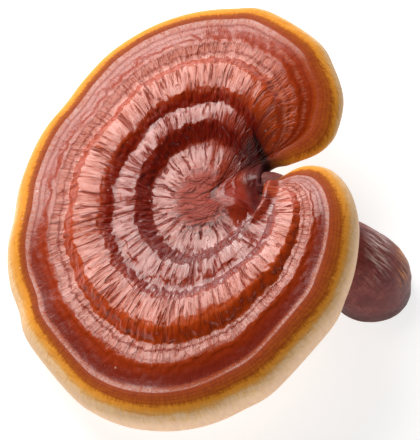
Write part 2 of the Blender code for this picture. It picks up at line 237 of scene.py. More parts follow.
def sunk(spots, height, share=1.0):
    """Points at spots of the plan, lowered into the hollow at the notch and with the drooping lobe."""
    far = np.linalg.norm(spots - HOLLOW, axis=1) / HOLLOW_SPREAD
    return np.column_stack([spots, height - HOLLOW_DEPTH * np.exp(-(far**2)) - DROOP * droop * share**2])


def beside(spots, line):
    """How far east of a line the spots are, and the third value of its table there."""
    north = np.clip(spots[:, 1], line[0][0], line[-1][0])
    norths, easts, thirds = zip(*line)
    return spots[:, 0] - smooth_through(north, norths, easts), smooth_through(north, norths, thirds)


def on_top(place, share):
    """Points of one growth ring on the top."""
    spots = plan(share * (1 - inset))
    far = np.linalg.norm(spots - SMOOTH_AT, axis=1) / SMOOTH_SPREAD
    strength = np.minimum(reach / FULL_REACH, 1) ** FADING * (1 - np.exp(-(far**2)))
    height = CENTRE_TOP + (middle + shoulder - CENTRE_TOP) * share**2
    height += strength * smooth_through(place, *zip(*RELIEF))
    for line, (west, east) in ((SOUTH_CREASE, SOUTH_WIDTHS), (NORTH_CREASE, NORTH_WIDTHS)):
        off, deep = beside(spots, line)
        height -= deep * np.exp(-((off / np.where(off < 0, west, east)) ** 2))
    off, deep = beside(spots, SOUTH_CREASE)
    height += ROLL_HEIGHT * deep / 3 * np.exp(-(((off - ROLL_FROM_CREASE) / ROLL_WIDTH) ** 2)) * (off > 0)
    knob = ((spots - KNOB_AT) / KNOB_SPREAD) ** 2
    height += KNOB_HEIGHT * np.exp(-knob.sum(1))
    return sunk(spots, height, share)


def round_margin(angle):
    """Points round the section of the margin, from straight up (0) past the widest line (90)."""
    up, out = math.cos(math.radians(angle)), math.sin(math.radians(angle))
    deep = shoulder if angle <= 90 else lip
    height = middle + deep * math.copysign(abs(up) ** SQUARENESS, up)
    return sunk(plan(1 - inset * (1 - out**SQUARENESS)), height)


def underneath(share):
    """Points on the pore face at a share of the way out to the margin's rounding."""
    height = CENTRE_BOTTOM + (middle - lip - CENTRE_BOTTOM) * share**2
    return sunk(plan(share * (1 - inset)), height, share)


# Each ring of the mesh, with what its vertices carry for the finish: zone is 0 to 1 across the top, then
# orange, ochre and cream up to 4, and to 5 across the pore face.
top_places = np.linspace(0, 1, ZONE_ROWS)
rim_angles = np.linspace(0, 180, MARGIN_ROWS + 2)[1:-1]
pore_shares = np.linspace(1, 0, PORE_ROWS)
swing = np.arange(COLUMNS) / COLUMNS * math.tau
round_about = np.stack([np.cos(swing), np.sin(swing)], 1)
shares = np.stack([smooth_through(top_places, line_places, (0, *row, 1)) for row in line_shares], 1)


def noise_round(widths, turns, outwards, start):
    """Noise on the rings of the top: its cells round the cap at each width, and its cells outwards."""
    return np.array([
        [
            noise.noise((turns * wide * c, turns * wide * s, outwards * place + start))
            for wide, (c, s) in zip(row, round_about)
        ]
        for place, row in zip(top_places, widths)
    ])


all_wide = np.ones(shares.shape)
wander = noise_round(all_wide, 5, 6, 0) + 0.5 * noise_round(all_wide, 14, 9, 40)
ragged = noise_round(shares, 42, 7, 80)
free = (np.minimum(top_places, 1 - top_places) / STILL_AT_ENDS).clip(0, 1)
shares += (WANDER * wander + RAGGEDNESS * ragged) * free[:, None]

rings = [on_top(place, share) for place, share in zip(top_places, shares)]
rings += [round_margin(angle) for angle in rim_angles]
rings += [underneath(np.full(COLUMNS, share)) for share in pore_shares]
rings = np.array(rings)

ochre_from = by_bearing(OCHRE_FROM) + DROOPING_OCHRE * droop + THIN_OCHRE * thin
cream_from = by_bearing(CREAM_FROM) + DROOPING_CREAM * droop + THIN_CREAM * thin
zone = [np.full(COLUMNS, place) for place in top_places]
for angle in rim_angles:
    past = np.where(angle < cream_from, 2 + (angle - ochre_from) / (cream_from - ochre_from), 0)
    past = np.where(angle < ochre_from, 1 + angle / ochre_from, past)
    zone.append(np.where(angle >= cream_from, 3 + (angle - cream_from) / (180 - cream_from), past))
zone += [np.full(COLUMNS, 5 - share) for share in pore_shares]
zone = np.array(zone)

# The grain runs with the rays, in units of one wrinkle's width round the cap and its length outwards.
# Each zone keeps one girth, so that its wrinkles stay evenly wide: where it ends, its share of the whole
# girth, and the wrinkles' width and length there.
GRAIN_ZONES = (
    (0.345, 0.24, 1.9, 6.0), (0.56, 0.46, 1.9, 8.5), (0.77, 0.67, 1.7, 10.0), (0.885, 0.83, 1.5, 5.0),
    (9.0, 0.97, 1.2, 4.0),
)
girth = rim_length / math.tau
run = np.linalg.norm(np.diff(rings, axis=0), axis=2).cumsum(0)
run = np.concatenate([np.zeros((1, COLUMNS)), run])
row_place = np.concatenate([top_places, np.full(MARGIN_ROWS + PORE_ROWS, 1.1)])
row_zone = np.searchsorted([ends for ends, *_ in GRAIN_ZONES], row_place)
_, zone_girth, wide, long = (np.array(GRAIN_ZONES)[row_zone].T)[..., None]
zone_girth *= girth
across_x, across_y = zone_girth * round_about[:, 0], zone_girth * round_about[:, 1]
grain = np.stack([across_x / wide, across_y / wide, run / long + 40.0 * row_zone[:, None]], 2)
wrinkled = np.interp(row_place, *zip(*WRINKLED))[:, None] * np.ones(COLUMNS)
streak_x, streak_y = STREAK_GIRTH * girth / STREAK_WIDTH * round_about.T
streak = np.stack([streak_x + 0 * run, streak_y + 0 * run, run / STREAK_LENGTH], 2)
flat_spots = rings[..., :2].reshape(-1, 2)


def on_plan(values):
    """Values at the spots of the plan, as an array of the rings; only on the top and the margin above."""
    return values.reshape(zone.shape) * (zone < 3)


def around(spot, spread):
    """1 at a spot of the plan, falling off with its spread."""
    return np.exp(-(((flat_spots - spot) / spread) ** 2).sum(1))


def painted(line):
    """1 near a line of the plan, within its half width, falling off smoothly beyond."""
    off, half = beside(flat_spots, line)
    beyond = np.maximum(line[0][0] - flat_spots[:, 1], flat_spots[:, 1] - line[-1][0]).clip(0)
    share = np.clip((PAINT_REACH - np.abs(off) / half - beyond / 2) / PAINT_EASE, 0, 1)
    return on_plan(share**2 * (3 - 2 * share))


flow, deepest_shadow = painted(FLOW), painted(DEEPEST_SHADOW)
off, deep = beside(flat_spots, SOUTH_CREASE)
rolled_edge = on_plan(np.exp(-(((off - ROLLED_EDGE) / ROLLED_EDGE_WIDTH) ** 2)) * np.clip(deep - 1, 0, 1))
knob = around(KNOB_AT, KNOB_SPREAD).reshape(zone.shape)
past = (flat_spots[:, 0] - DULL_FROM[0] - DULL_LEAN * (flat_spots[:, 1] - DULL_FROM[1])) / DULL_EASE
north = np.clip((flat_spots[:, 1] - DULL_NORTH) / DULL_NORTH_EASE, 0, 1)
dull = np.maximum((np.clip(0.5 + past / 2, 0, 1) * north).reshape(zone.shape), knob)
hollow_shade = on_plan(around(HOLLOW_SHADE_AT, HOLLOW_SHADE_SPREAD))
notch_side = np.clip(NOTCH_SIDE_REACH - np.abs(along - NOTCH_SIDE) / NOTCH_SIDE_SPREAD, 0, 1)
below_top = (zone > 1) * np.clip(8 * (4.1 - zone), 0, 1)
flow = np.maximum(flow, NOTCH_SIDE_FLOW * notch_side * below_top)
crowded = around(CROWDED_AT, CROWDED_SPREAD).reshape(zone.shape)
wrinkled *= (1 - 0.8 * flow) * (1 - 0.8 * knob) * (1 - 0.7 * crowded)

# The crust's larger wrinkles and lumps are in the mesh, along its normals: lower round the margin, and
# none on the pore face.
sideways = np.roll(rings, -1, 1) - np.roll(rings, 1, 1)
downwards = np.gradient(rings, axis=0)
normals = np.cross(downwards, sideways)
normals /= np.maximum(np.linalg.norm(normals, axis=2), 1e-9)[..., None]
lift = np.zeros(zone.shape)
for i in range(len(rings)):
    for j in range(COLUMNS):
        x, y, z = across_x[i, j], across_y[i, j], run[i, j]
        cell = (x / WRINKLE_WIDTH, y / WRINKLE_WIDTH, z / WRINKLE_LENGTH + 7 * row_zone[i])
        lift[i, j] = WRINKLE_HEIGHT * wrinkled[i, j] * noise.noise(cell)
        lump = noise.noise(Vector(rings[i, j]) / LUMP_SIZE)
        lift[i, j] += LUMP_HEIGHT * min(1, LEAST_LUMPY + wrinkled[i, j]) * lump
lift *= np.clip(4.3 - zone, 0, 1) * (0.25 + 0.75 * np.clip(2 - zone, 0, 1))
lift[:POLE_ROWS] *= np.linspace(0, 1, POLE_ROWS)[:, None]
rings = rings + normals * lift[..., None]

cap_mesh = bmesh.new()
bmesh.ops.create_grid(cap_mesh, x_segments=COLUMNS, y_segments=len(rings) - 1, size=1)
carried = {
    "zone": zone, "wrinkled": wrinkled, "flow": flow, "deepest_shadow": deepest_shadow,
    "rolled_edge": rolled_edge, "dull": dull, "hollow_shade": hollow_shade, "crowded": crowded,
}
layers = {name: cap_mesh.verts.layers.float.new(name) for name in carried}
grain_layer = cap_mesh.verts.layers.float_vector.new("grain")
streak_layer = cap_mesh.verts.layers.float_vector.new("streak")
for vertex in cap_mesh.verts:
    column = round((vertex.co.x + 1) / 2 * COLUMNS) % COLUMNS
    row = round((vertex.co.y + 1) / 2 * (len(rings) - 1))
    vertex.co = Vector(rings[row, column]) * MM
    for name, values in carried.items():
        vertex[layers[name]] = values[row, column]
    vertex[grain_layer] = grain[row, column]
    vertex[streak_layer] = streak[row, column]
bmesh.ops.remove_doubles(cap_mesh, verts=cap_mesh.verts, dist=0.001 * MM)
bmesh.ops.recalc_face_normals(cap_mesh, faces=cap_mesh.faces)
leaning = Matrix.Rotation(math.radians(-LEAN), 4, "Y") @ Matrix.Rotation(math.radians(PITCH), 4, "X")
bmesh.ops.transform(cap_mesh, matrix=leaning, verts=cap_mesh.verts)


def box_of(mesh):
    """Lowest and highest corner of a bmesh."""
    spots = np.array([vertex.co for vertex in mesh.verts])
    return Vector(spots.min(0)), Vector(spots.max(0))


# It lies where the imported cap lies: level with its underside, and centred on it.
low, high = box_of(cap_mesh)
cad_low, cad_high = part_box("cap")
to_table = (cad_low + cad_high) / 2 - (low + high) / 2
to_table.z = cad_low.z - low.z
bmesh.ops.translate(cap_mesh, vec=to_table, verts=cap_mesh.verts)


def finished(name, mesh, material):
    """Makes a finished piece of a bmesh, shaded smooth, with its place in its mesh."""
    data = bpy.data.meshes.new(name)
    mesh.to_mesh(data)
    mesh.free()
    data.materials.append(material)
    data.shade_smooth()
    piece = bpy.data.objects.new(name, data)
    bpy.context.collection.objects.link(piece)
    return piece


def add_node(tree, kind, inputs=None, **settings):
    """Adds a shader node. Inputs are values or other nodes' sockets, by socket name or number."""
    made = tree.nodes.new(kind)
    for name, value in settings.items():
        setattr(made, name, value)
    for name, value in (inputs or {}).items():
        if isinstance(value, bpy.types.NodeSocket):
            tree.links.new(value, made.inputs[name])
        else:
            made.inputs[name].default_value = value
    return made


def maths(tree, operation, *values):
    return add_node(tree, "ShaderNodeMath", dict(enumerate(values)), operation=operation).outputs[0]


def product(tree, first, *others):
    """Values and sockets, multiplied."""
    for value in others:
        first = maths(tree, "MULTIPLY", first, value)
    return first


def without(tree, value):
    """What a value leaves of 1."""
    return maths(tree, "SUBTRACT", 1.0, value)


def eased(tree, value, low_end, high_end):
    """0 below one end and 1 above the other, with a smooth ramp between."""
    ends = {"Value": value, "From Min": low_end, "From Max": high_end}
    return add_node(tree, "ShaderNodeMapRange", ends, interpolation_type="SMOOTHSTEP").outputs[0]


def within(tree, value, start, full, fading, gone):
    """1 from full to fading, with a smooth ramp up to it from start and down from it to gone."""
    return product(tree, eased(tree, value, start, full), without(tree, eased(tree, value, fading, gone)))


def stretched(tree, vector, factors):
    return add_node(tree, "ShaderNodeVectorMath", {0: vector, 1: factors}, operation="MULTIPLY").outputs[0]


def noise_of(tree, vector, scale, detail, roughness=0.5, distortion=0.0):
    inputs = {
        "Vector": vector, "Scale": scale, "Detail": detail, "Roughness": roughness, "Distortion": distortion,
    }
    return add_node(tree, "ShaderNodeTexNoise", inputs).outputs[0]


def cells_of(tree, vector, scale):
    return add_node(tree, "ShaderNodeTexVoronoi", {"Vector": vector, "Scale": scale}).outputs


def read(tree, name, what="Fac"):
    """What a mesh carries at its vertices."""
    return add_node(tree, "ShaderNodeAttribute", attribute_name=name).outputs[what]


def linear(colour):
    """A colour as a screen shows it, 0 to 255, as the light it stands for."""
    parts = [value / 255 for value in colour]
    return (*(v / 12.92 if v < 0.04 else ((v + 0.055) / 1.055) ** 2.4 for v in parts), 1)


def ramp_of(tree, value, stops):
    """A ramp through stops of place and light."""
    ramp = add_node(tree, "ShaderNodeValToRGB", {0: value})
    marks = ramp.color_ramp.elements
    for mark, (place, light) in zip(marks, (stops[0], stops[-1])):
        mark.position, mark.color = place, light
    for place, light in stops[1:-1]:
        marks.new(place).color = light
    return ramp.outputs[0]


def colour_by(tree, value, stops):
    """A ramp through stops of place and colour."""
    return ramp_of(tree, value, [(place, linear(colour)) for place, colour in stops])


def lines_at(tree, value, start, span, lines, offsets):
    """A mask of lines: each at a place of the value, so strong, and from 0 to full to 0 at four offsets.
    The span of the value from start on holds all of them."""
    stops = []
    for place, strength in lines:
        for offset, level in zip(offsets, (0.0, strength, strength, 0.0)):
            stops.append(((place + offset - start) / span, (level, level, level, 1)))
    return ramp_of(tree, maths(tree, "DIVIDE", maths(tree, "SUBTRACT", value, start), span), stops)


def laid_over(tree, colour, *shares, over, how="MIX"):
    """A colour with another over it, as far as the product of the shares says."""
    made = add_node(tree, "ShaderNodeMix", data_type="RGBA", blend_type=how)
    sockets = made.inputs[0], made.inputs[6], made.inputs[7]
    for socket, value in zip(sockets, (product(tree, *shares), colour, over)):
        if isinstance(value, bpy.types.NodeSocket):
            tree.links.new(value, socket)
        else:
            socket.default_value = value
    return made.outputs[2]


# Shrunken crust: flat plates with short narrow creases between them, long in the direction of growth. Both
# materials use it.
CREASE_STEEPNESS, CREASE_EASE, FLANK_EASE = 3.0, 0.08, 0.16

crust = bpy.data.node_groups.new("shrunken_crust", "ShaderNodeTree")
for name, kind in (("Grain", "NodeSocketVector"), ("Size", "NodeSocketFloat"), ("Reach", "NodeSocketFloat")):
    crust.interface.new_socket(name, in_out="INPUT", socket_type=kind)
for name in ("Height", "Crease", "Flank"):
    crust.interface.new_socket(name, in_out="OUTPUT", socket_type="NodeSocketFloat")
given = add_node(crust, "NodeGroupInput").outputs
field = noise_of(crust, given["Grain"], given["Size"], 2.5, 0.5, 0.9)
above = maths(crust, "MAXIMUM", maths(crust, "SUBTRACT", field, given["Reach"]), 0.0)
sinking = product(crust, above, CREASE_STEEPNESS)
add_node(crust, "NodeGroupOutput", {
    "Height": maths(crust, "SUBTRACT", product(crust, field, -0.5), sinking),
    "Crease": eased(crust, field, given["Reach"], maths(crust, "ADD", given["Reach"], CREASE_EASE)),
    "Flank": eased(crust, field, maths(crust, "SUBTRACT", given["Reach"], FLANK_EASE), given["Reach"]),
})


def crust_on(tree, grain, size, reach):
    inputs = {"Grain": grain, "Size": size, "Reach": reach}
    return add_node(tree, "ShaderNodeGroup", inputs, node_tree=crust).outputs


# The lacquer's colours by zone: over the rings of the top, then round the margin to the pore face.
TOP_COLOURS = (
    (0.00, (164, 52, 22)), (0.10, (158, 46, 18)), (0.17, (168, 58, 30)), (0.28, (166, 58, 30)),
    (0.31, (125, 24, 5)), (0.37, (118, 19, 3)), (0.42, (164, 53, 26)), (0.50, (168, 56, 28)),
    (0.54, (130, 24, 4)), (0.57, (140, 30, 5)), (0.61, (184, 64, 14)), (0.66, (194, 74, 22)),
    (0.73, (198, 76, 22)), (0.76, (182, 58, 12)), (0.80, (190, 72, 18)), (0.86, (188, 71, 17)),
    (0.90, (168, 54, 14)), (0.96, (170, 56, 14)), (0.985, (178, 70, 19)), (1.00, (178, 76, 14)),
)
LAST_ZONE = 5.0
EDGE_COLOURS = (
    (1.00, (172, 66, 14)), (1.35, (172, 74, 10)), (1.80, (182, 92, 14)), (1.975, (206, 122, 26)),
    (2.15, (238, 154, 44)), (2.50, (242, 166, 66)), (2.80, (240, 178, 98)), (3.05, (248, 206, 154)),
    (3.30, (250, 212, 176)), (3.60, (244, 202, 162)), (4.00, (234, 202, 166)), (5.00, (224, 198, 168)),
)
# Painted shade in the creases, darker on the inner zones.
CREASE_SHADE_COLOURS = ((0.2, (136, 34, 12)), (0.5, (146, 40, 13)), (0.8, (166, 62, 24)))
CROWDED_COLOUR, TROUGH_SHADE_COLOUR = (150, 40, 20), (132, 36, 18)
HOLLOW_SHADE_COLOUR, FLOW_COLOUR, DEEPEST_SHADOW_COLOUR = (90, 8, 3), (88, 34, 34), (38, 3, 2)
ROLLED_EDGE_COLOUR, DUST_COLOUR = (205, 115, 30), (238, 196, 176)
# Thin ragged lines round the outer zones, painted highlights on the ridges of the duller side, and lines in
# the orange
# rim: place and strength of each, its four offsets, and its colour.
GROWTH_LINES = ((0.822, 1.0), (0.868, 0.6), (0.900, 0.9), (0.935, 0.7), (0.968, 1.0))
GROWTH_LINE_OFFSETS, GROWTH_LINE_COLOUR = (-0.010, -0.004, 0.003, 0.009), (158, 52, 14)
RIDGE_HIGHLIGHTS = ((0.795, 1.0), (0.935, 0.6), (1.12, 0.8))
RIDGE_HIGHLIGHT_OFFSETS, RIDGE_HIGHLIGHT_COLOUR = (-0.022, -0.006, 0.002, 0.012), (216, 132, 104)
RIM_LINES = ((1.14, 0.6), (1.34, 1.0), (1.55, 0.7), (1.80, 0.9))
RIM_LINE_OFFSETS, RIM_LINE_COLOUR = (-0.06, -0.02, 0.02, 0.05), (150, 58, 14)
UNEVENNESS, WOBBLE = 0.04, 0.016  # of the zones' colours and of these lines, in zones
THREAD_TINT, FIBRE_TINT, MOTTLE_TINT = (0.74, 0.6, 0.5, 1), (0.62, 0.5, 0.5, 1), (0.5, 0.4, 0.4, 1)
WHITE = (1, 1, 1, 1)
# Where each finish lies, in zones: where it starts, is full, fades and is gone, or only two of these.
RINGS, OUTER_ZONES, MARGIN_ZONES = (0.22, 0.30, 0.84, 0.90), (0.78, 0.84, 1.3, 2.2), (1.0, 1.3, 2.7, 3.3)
SHADED_TROUGH, CREST = (0.90, 0.95, 0.975, 0.985), (0.965, 0.985, 1.0, 1.02)
OUTER_RING, FARTHER = (0.78, 0.83, 0.97, 0.99), (0.54, 0.60)
PLATE_ENDS, LEAVES_END, SOFT_FROM, ROUGH_FROM, PORES_FROM = (
    (0.11, 0.19), (0.10, 0.24), (0.998, 1.05), (0.99, 1.1), (3.6, 4.1)
)
NORTHERN = (-0.030, 0.005)  # metres north
GLOSS, COAT_ROUGHNESS, COAT_IOR, SPECULAR, ROUGHNESS = 0.94, 0.16, 1.5, 0.18, 0.24

lacquer = bpy.data.materials.new("reishi_lacquer")
lacquer.use_nodes = True
tree = lacquer.node_tree
shader = tree.nodes["Principled BSDF"]
zone_at, wrinkle_at, flow_at, deepest_shadow_at, edge_at, dull_at, hollow_shade_at, crowded_at = (
    read(tree, name) for name in carried
)
grain_at, streak_at = read(tree, "grain", "Vector"), read(tree, "streak", "Vector")
spot = add_node(tree, "ShaderNodeTexCoord").outputs["Object"]
northern = eased(tree, add_node(tree, "ShaderNodeSeparateXYZ", {0: spot}).outputs[1], *NORTHERN)
threads = noise_of(tree, stretched(tree, streak_at, (0.35, 0.35, 11.0)), 1.0, 3.0, 0.65, 0.3)
fibres = noise_of(tree, streak_at, 4.0, 4.0, 0.7, 0.3)

# The zones' colours, shifted a little to and fro so that no colour ends on an even line. Round the margin
# threads and fibres stray farther.
uneven = maths(tree, "SUBTRACT", noise_of(tree, grain_at, 0.3, 5.0, 0.6), 0.5)
shifted = maths(tree, "MULTIPLY_ADD", uneven, UNEVENNESS, zone_at)
stray = maths(tree, "MULTIPLY_ADD", threads, 0.5, maths(tree, "MULTIPLY_ADD", fibres, 0.9, -0.7))
shifted = maths(tree, "MULTIPLY_ADD", eased(tree, zone_at, *MARGIN_ZONES[:2]), stray, shifted)
top_colour = colour_by(tree, shifted, TOP_COLOURS)
top_colour = laid_over(tree, top_colour, crowded_at, 0.9, over=linear(CROWDED_COLOUR))
edge_stops = [(at / LAST_ZONE, colour) for at, colour in EDGE_COLOURS]
edge_colour = colour_by(tree, maths(tree, "DIVIDE", shifted, LAST_ZONE), edge_stops)
colour = laid_over(tree, top_colour, maths(tree, "GREATER_THAN", shifted, 1.0), over=edge_colour)

# Wrinkles between the growth lines, and streaks over the lines themselves, where the wrinkles leave off.
# Their creases are painted darker, as painted shade.
wide, fine = crust_on(tree, grain_at, 0.9, 0.535), crust_on(tree, grain_at, 2.1, 0.54)
streaks = crust_on(tree, streak_at, 1.0, 0.52)
streaked = product(
    tree, within(tree, zone_at, *RINGS), without(tree, crowded_at),
    without(tree, product(tree, wrinkle_at, 0.7)),
)
streak_here = product(tree, streaks["Crease"], streaked)
crease_here = product(tree, wide["Crease"], wrinkle_at)
crease_here = maths(tree, "MAXIMUM", crease_here, product(tree, streak_here, 0.8))
colour = laid_over(tree, colour, crease_here, over=colour_by(tree, zone_at, CREASE_SHADE_COLOURS))

wobble = maths(tree, "SUBTRACT", noise_of(tree, streak_at, 1.2, 6.0, 0.65), 0.5)
wobble = product(tree, wobble, WOBBLE, without(tree, crowded_at))
lined, ridge_highlights, rim_lined = (
    lines_at(tree, maths(tree, "MULTIPLY_ADD", wobble, more, zone_at), start, span, lines, offsets)
    for more, start, span, lines, offsets in (
        (1.0, 0.75, 0.25, GROWTH_LINES, GROWTH_LINE_OFFSETS), (2.0, 0.7, 1.0, RIDGE_HIGHLIGHTS, RIDGE_HIGHLIGHT_OFFSETS),
        (2.5, 1.0, 1.0, RIM_LINES, RIM_LINE_OFFSETS),
    )
)
colour = laid_over(tree, colour, lined, 0.95, over=linear(GROWTH_LINE_COLOUR))
# Painted highlights on the ridges, only on the duller side and broken by the fibres.
ridge_highlights = product(tree, ridge_highlights, dull_at, eased(tree, fibres, 0.40, 0.56))
colour = laid_over(tree, colour, ridge_highlights, 0.75, over=linear(RIDGE_HIGHLIGHT_COLOUR))
colour = laid_over(tree, colour, rim_lined, 0.6, over=linear(RIM_LINE_COLOUR))

# Darker threads round the margin, painted shade in the trough before the crest on the southern side only,
# darker fibres and mottles, and the places beside the notch that are painted in: painted shade in the hollow,
# the stem's dark lacquer, the deepest painted shadow in the north crease, and the rolled ochre edge. A few
# pale specks of dust lie on all of it.
on_margin = within(tree, zone_at, *MARGIN_ZONES)
threaded = ramp_of(tree, threads, ((0.34, THREAD_TINT), (0.46, WHITE)))
colour = laid_over(tree, colour, on_margin, 0.5, over=threaded, how="MULTIPLY")
# Painted shade in the trough, on the southern side only.
trough_shade = within(tree, zone_at, *SHADED_TROUGH)
colour = laid_over(tree, colour, trough_shade, without(tree, northern), 0.85, over=linear(TROUGH_SHADE_COLOUR))
on_outer = within(tree, zone_at, *OUTER_ZONES)
fibred = ramp_of(tree, fibres, ((0.40, FIBRE_TINT), (0.54, WHITE)))
colour = laid_over(tree, colour, on_outer, 0.45, over=fibred, how="MULTIPLY")
mottled = ramp_of(tree, noise_of(tree, grain_at, 0.8, 6.0, 0.7), ((0.3, MOTTLE_TINT), (0.7, WHITE)))
colour = laid_over(tree, colour, 0.25, over=mottled, how="MULTIPLY")
specks = cells_of(tree, spot, 230.0)
rare = add_node(tree, "ShaderNodeSeparateColor", {0: specks["Color"]}).outputs[0]
rare = maths(tree, "GREATER_THAN", rare, 0.86)
dust = product(tree, without(tree, eased(tree, specks["Distance"], 0.05, 0.10)), rare)
for share, most, over in (
    (hollow_shade_at, 0.8, HOLLOW_SHADE_COLOUR), (flow_at, 0.85, FLOW_COLOUR), (deepest_shadow_at, 0.92, DEEPEST_SHADOW_COLOUR),
    (eased(tree, edge_at, 0.82, 0.97), 0.9, ROLLED_EDGE_COLOUR), (dust, 0.5, DUST_COLOUR),
):
    colour = laid_over(tree, colour, share, most, over=linear(over))
tree.links.new(colour, shader.inputs["Base Color"])

# The lacquer is a clear coat: gone in the creases, thinner on the wrinkles' flanks, in patches and on the
# plate in the middle, and ending where the crust is still soft at the margin.
patches = eased(tree, noise_of(tree, spot, 110.0, 3.0, 0.6, 0.6), 0.40, 0.70)
plate = without(tree, eased(tree, zone_at, *PLATE_ENDS))
crest = within(tree, zone_at, *CREST)
gloss = GLOSS
for share, less in (
    (crease_here, 0.97), (product(tree, wide["Flank"], wrinkle_at), 0.3),
    (product(tree, fine["Crease"], wrinkle_at), 0.45), (patches, 0.25), (plate, 0.9),
    (eased(tree, zone_at, *SOFT_FROM), 0.95), (dull_at, 0.45),
    (product(tree, on_outer, eased(tree, fibres, 0.50, 0.62)), 0.4), (deepest_shadow_at, 0.9), (hollow_shade_at, 0.5),
    (lined, 0.95), (product(tree, within(tree, zone_at, *OUTER_RING), northern), 0.5),
    (crest, 0.2), (product(tree, crest, eased(tree, fibres, 0.46, 0.56)), 0.85),
    (eased(tree, zone_at, *FARTHER), 0.14), (edge_at, 0.9), (crowded_at, 0.9), (flow_at, 0.6),
):
    gloss = product(tree, gloss, without(tree, product(tree, share, less)))
tree.links.new(gloss, shader.inputs["Coat Weight"])
shader.inputs["Coat Roughness"].default_value = COAT_ROUGHNESS
shader.inputs["Coat IOR"].default_value = COAT_IOR
shader.inputs["Specular IOR Level"].default_value = SPECULAR
rough = ROUGHNESS
for share, more in ((eased(tree, zone_at, *ROUGH_FROM), 0.55), (plate, 0.2), (dull_at, 0.05)):
    rough = maths(tree, "MULTIPLY_ADD", share, more, rough)
tree.links.new(rough, shader.inputs["Roughness"])

# The fine relief, each with its depth in millimetres: wrinkles, streaks, the leafy folds of the plate in the
# middle, a papery skin all over, and the pores underneath.
wrinkle_height = maths(
    tree, "ADD", product(tree, wide["Height"], wrinkle_at), product(tree, fine["Height"], wrinkle_at, 0.3)
)
leafy = noise_of(tree, stretched(tree, spot, (95.0, 210.0, 150.0)), 1.0, 3.0, 0.55, 2.2)
pores = cells_of(tree, spot, 1800.0)["Distance"]
relief = {}
for height, depth_mm in (
    (wrinkle_height, 0.6), (product(tree, streaks["Height"], streaked), 0.5),
    (product(tree, leafy, without(tree, eased(tree, zone_at, *LEAVES_END))), 3.0),
    (noise_of(tree, spot, 2600.0, 2.0), 0.03), (product(tree, pores, eased(tree, zone_at, *PORES_FROM)), 0.2),
):
    inputs = {"Height": height, "Distance": depth_mm * MM, **relief}
    relief = {"Normal": add_node(tree, "ShaderNodeBump", inputs).outputs[0]}
tree.links.new(relief["Normal"], shader.inputs["Normal"])

cap = finished("lacquered_cap", cap_mesh, lacquer)
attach(cap, "root")
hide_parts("cap")

# ---- stem --------------------------------------------------------------------------------------
# The short side stem, of the same corky flesh under a darker, duller crust. It grows up into the notch
# of the cap, and its lower end is cut off flat.

STEM = (
    (10.0, 6.0, -2.5, 5.0, 5.0), (18.5, 5.5, -1.8, 5.6, 6.4), (28.5, -2.5, -6.0, 9.5, 9.0),
    (37.5, -8.7, -9.2, 10.0, 10.0), (45.3, -12.8, -12.2, 11.4, 11.4), (49.4, -15.4, -17.4, 12.7, 12.7),
    (50.2, -16.8, -25.0, 12.4, 12.4), (50.2, -17.0, -32.0, 12.0, 12.0),
)
BLUNTNESS, SWELLING, FINE_SWELLING = 0.12, 0.035, 0.012
STEM_COLUMNS, STEM_ROWS = 180, 200
GRAIN_GIRTH, GRAIN_LENGTH = 7, 60
STEM_COLOURS = ((0.25, (88, 18, 16)), (0.5, (128, 48, 42)), (0.75, (156, 80, 72)))
# A painted highlight on the bend, ochre streaks, and painted shade at the foot.
PAINTED_SHINE_COLOUR, TURNED_COLOUR, SHADE_COLOUR = (236, 204, 198), (232, 146, 76), (84, 22, 20)
RIND_COLOUR, SPECK_COLOUR = (70, 10, 8), (190, 150, 130)
CORK_COLOURS = ((0.35, (150, 104, 66)), (0.65, (202, 164, 118)))

stem_table = np.array(STEM, float)
stem_places = np.linspace(0, 1, len(stem_table))


def along_stem(share):
    return np.array([smooth_through(share, stem_places, column) for column in stem_table.T])


stem_mesh = bmesh.new()
bmesh.ops.create_uvsphere(stem_mesh, u_segments=STEM_COLUMNS, v_segments=STEM_ROWS, radius=1)
stem_grain = stem_mesh.verts.layers.float_vector.new("grain")
stem_rows = [along_stem(down) for down in np.linspace(0, 1, STEM_ROWS + 1)]
for vertex in stem_mesh.verts:
    row = round(math.acos(max(-1, min(1, vertex.co.z))) / math.pi * STEM_ROWS)
    down = row / STEM_ROWS
    swell = math.sqrt(max(0, 1 - max(0, 1 - min(down, 1 - down) / BLUNTNESS) ** 2))
    swing = math.atan2(vertex.co.y, vertex.co.x)
    here = stem_rows[row]
    onward = Vector((stem_rows[min(STEM_ROWS, row + 4)] - stem_rows[max(0, row - 4)])[:3]).normalized()
    side = onward.cross(Vector((0.3, 0.2, 1))).normalized()
    over = side.cross(onward)
    grown = Vector((GRAIN_GIRTH * math.cos(swing), GRAIN_GIRTH * math.sin(swing), GRAIN_LENGTH * down))
    bulge = 1 + SWELLING * noise.noise(grown / 5) + FINE_SWELLING * noise.noise(grown / 1.6)
    across = side * here[3] * math.cos(swing) + over * here[4] * math.sin(swing)
    vertex.co = (Vector(here[:3]) + swell * bulge * across) * MM
    vertex[stem_grain] = grown
bmesh.ops.recalc_face_normals(stem_mesh, faces=stem_mesh.faces)
bmesh.ops.translate(stem_mesh, vec=to_table, verts=stem_mesh.verts)
everything = stem_mesh.verts[:] + stem_mesh.edges[:] + stem_mesh.faces[:]
cut = bmesh.ops.bisect_plane(
    stem_mesh, geom=everything, plane_co=(0, 0, 0), plane_no=(0, 0, 1), clear_inner=True
)
cut_edges = [piece for piece in cut["geom_cut"] if isinstance(piece, bmesh.types.BMEdge)]
bmesh.ops.contextual_create(stem_mesh, geom=cut_edges)

